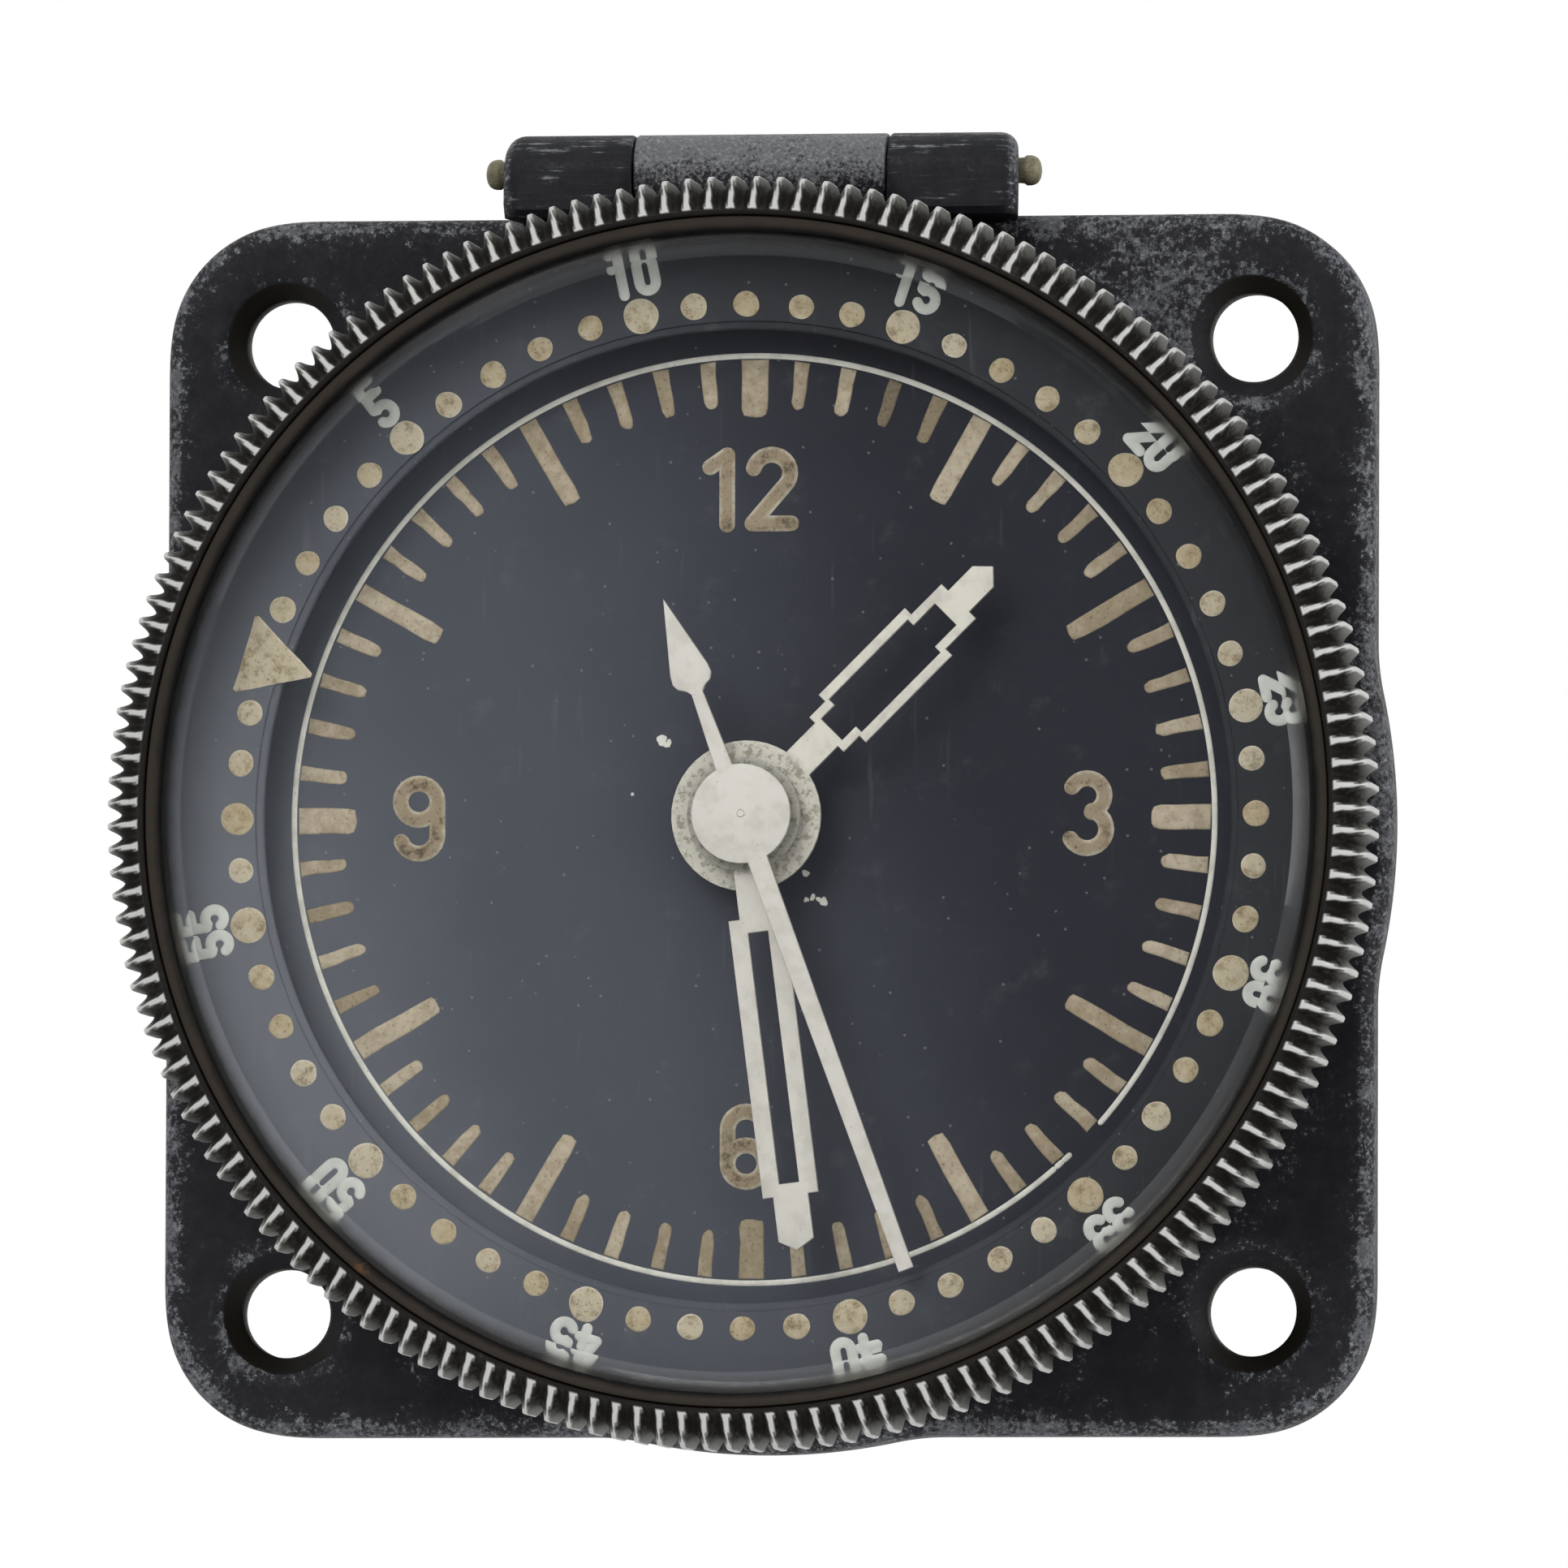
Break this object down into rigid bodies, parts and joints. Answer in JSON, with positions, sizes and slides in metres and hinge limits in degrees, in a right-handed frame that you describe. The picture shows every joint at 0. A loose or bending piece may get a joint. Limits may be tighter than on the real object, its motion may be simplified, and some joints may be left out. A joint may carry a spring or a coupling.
{
  "type": "aircraft cockpit clock",
  "caption": "Square-flanged panel clock with a knurled turning bezel, minute scale with triangle, open hands and a hinged setting lever on top.",
  "frame": {"origin": "centre of the four bolt holes, on the rear face of the flange that seats on the panel", "axes": "+X right and +Z towards twelve o'clock seen from the front; the dial faces -Y and the can goes into the panel along +Y"},
  "size_m": [0.0624, 0.0283, 0.0652],
  "materials": {
    "case_lacquer": "blue-black lacquer on a light-alloy casting, worn grey along edges and round the holes",
    "bezel_metal": "black lacquer, ridges rubbed to bare grey metal",
    "ring_brown": "dark brown-black lacquer with a little rust",
    "glass": "clear mineral glass with a ground bevel",
    "scale_black": "satin blue-black",
    "dial_black": "satin blue-black",
    "lume": "aged beige luminous compound, gritty",
    "hand_white": "off-white paint, slightly yellowed",
    "pin_brass": "dull greenish brass",
    "screw_steel": "polished steel",
    "spring_steel": "blued spring steel",
    "movement_brass": "fine-grained brass",
    "wheel_brass": "polished brass"
  },
  "bodies": {
    "case": {"case_body": "case_lacquer", "rear_cover": "case_lacquer", "rear_cover_screws": "screw_steel", "hinge_pin": "pin_brass", "bezel_spring": "spring_steel", "dial": "dial_black", "dial_markers": "lume", "front_plate": "movement_brass", "rear_plate": "movement_brass", "plate_pillars": "movement_brass", "plate_screws": "screw_steel", "movement_screws": "screw_steel", "centre_tube": "screw_steel", "click_spring": "spring_steel", "hairspring": "spring_steel", "balance_cock": "movement_brass", "cock_screw": "screw_steel", "plunger_spring": "spring_steel"},
    "bezel": {"bezel": "bezel_metal", "glass": "glass", "glass_ring": "ring_brown", "scale_ring": "scale_black", "scale_markers": "lume"},
    "lever": {"setting_lever": "case_lacquer"},
    "plunger": {"setting_plunger": "screw_steel"},
    "minute": {"minute_hand": "hand_white", "cannon_pinion": "screw_steel"},
    "hour": {"hour_hand": "hand_white", "hour_wheel": "wheel_brass"},
    "minute_gear": {"minute_wheel": "wheel_brass"},
    "seconds": {"second_hand": "hand_white", "seconds_wheel": "wheel_brass"},
    "third": {"third_wheel": "wheel_brass"},
    "great": {"great_wheel": "wheel_brass"},
    "barrel": {"mainspring_barrel": "wheel_brass", "barrel_cover": "wheel_brass", "mainspring": "spring_steel"},
    "ratchet": {"barrel_arbor": "screw_steel", "ratchet_wheel": "screw_steel"},
    "winding": {"winding_pinion": "screw_steel"},
    "escape": {"escape_wheel": "wheel_brass"},
    "pallet": {"pallet_fork": "screw_steel"},
    "balance": {"balance_wheel": "wheel_brass"}
  },
  "joints": [
    {"name": "bezel_turn", "type": "hinge", "parent": "case", "child": "bezel", "pos_m": [0, 0, 0], "axis": [0, -1, 0], "continuous": true},
    {"name": "winding_pinion_turn", "type": "hinge", "parent": "case", "child": "winding", "pos_m": [-0.00818, 0, 0.02341], "axis": [0, -1, 0], "continuous": true},
    {"name": "ratchet_turn", "type": "hinge", "parent": "case", "child": "ratchet", "pos_m": [-0.005, 0, 0.0143], "axis": [0, -1, 0], "continuous": true, "deforming": ["click_spring"]},
    {"name": "minute_hand_turn", "type": "hinge", "parent": "case", "child": "minute", "pos_m": [0, 0, 0], "axis": [0, -1, 0], "continuous": true},
    {"name": "minute_wheel_turn", "type": "hinge", "parent": "case", "child": "minute_gear", "pos_m": [0.00598, 0, -0.00598], "axis": [0, -1, 0], "continuous": true},
    {"name": "hour_hand_turn", "type": "hinge", "parent": "case", "child": "hour", "pos_m": [0, 0, 0], "axis": [0, -1, 0], "continuous": true},
    {"name": "second_hand_turn", "type": "hinge", "parent": "case", "child": "seconds", "pos_m": [0, 0, 0], "axis": [0, -1, 0], "continuous": true},
    {"name": "third_wheel_turn", "type": "hinge", "parent": "case", "child": "third", "pos_m": [-0.00724, 0, -0.00263], "axis": [0, -1, 0], "continuous": true},
    {"name": "great_wheel_turn", "type": "hinge", "parent": "case", "child": "great", "pos_m": [-0.01002, 0, 0.00502], "axis": [0, -1, 0], "continuous": true},
    {"name": "barrel_turn", "type": "hinge", "parent": "case", "child": "barrel", "pos_m": [-0.005, 0, 0.0143], "axis": [0, -1, 0], "continuous": true},
    {"name": "escape_wheel_turn", "type": "hinge", "parent": "case", "child": "escape", "pos_m": [0.00663, 0, -0.00309], "axis": [0, -1, 0], "continuous": true},
    {"name": "pallet_swing", "type": "hinge", "parent": "case", "child": "pallet", "pos_m": [0.00524, 0, -0.00689], "axis": [0, -1, 0], "range_deg": [-5, 5]},
    {"name": "balance_swing", "type": "hinge", "parent": "case", "child": "balance", "pos_m": [0.00357, 0, -0.01149], "axis": [0, -1, 0], "range_deg": [-220, 220], "stiffness_Nm_per_rad": 0.000002, "deforming": ["hairspring"]},
    {"name": "lever_press", "type": "hinge", "parent": "case", "child": "lever", "pos_m": [0, -0.0045, 0.0321], "axis": [-1, 0, 0], "range_deg": [0, 8], "stiffness_Nm_per_rad": 0.05, "springref_deg": -5.73},
    {"name": "plunger_slide", "type": "slide", "parent": "case", "child": "plunger", "axis": [0, 0, -1], "range_m": [0, 0.0013], "deforming": ["plunger_spring"]}
  ],
  "couplings": [
    {"joint": "winding_pinion_turn", "follows": "bezel_turn", "ratio": 9.8571},
    {"joint": "ratchet_turn", "follows": "bezel_turn", "ratio": -4.0588},
    {"joint": "minute_wheel_turn", "follows": "minute_hand_turn", "ratio": -0.33333},
    {"joint": "hour_hand_turn", "follows": "minute_hand_turn", "ratio": 0.083333},
    {"joint": "third_wheel_turn", "follows": "second_hand_turn", "ratio": -0.13333},
    {"joint": "great_wheel_turn", "follows": "second_hand_turn", "ratio": 0.016667},
    {"joint": "barrel_turn", "follows": "second_hand_turn", "ratio": -0.0027778},
    {"joint": "escape_wheel_turn", "follows": "second_hand_turn", "ratio": -10},
    {"joint": "plunger_slide", "follows": "lever_press", "m_per_rad": 0.0087}
  ]
}
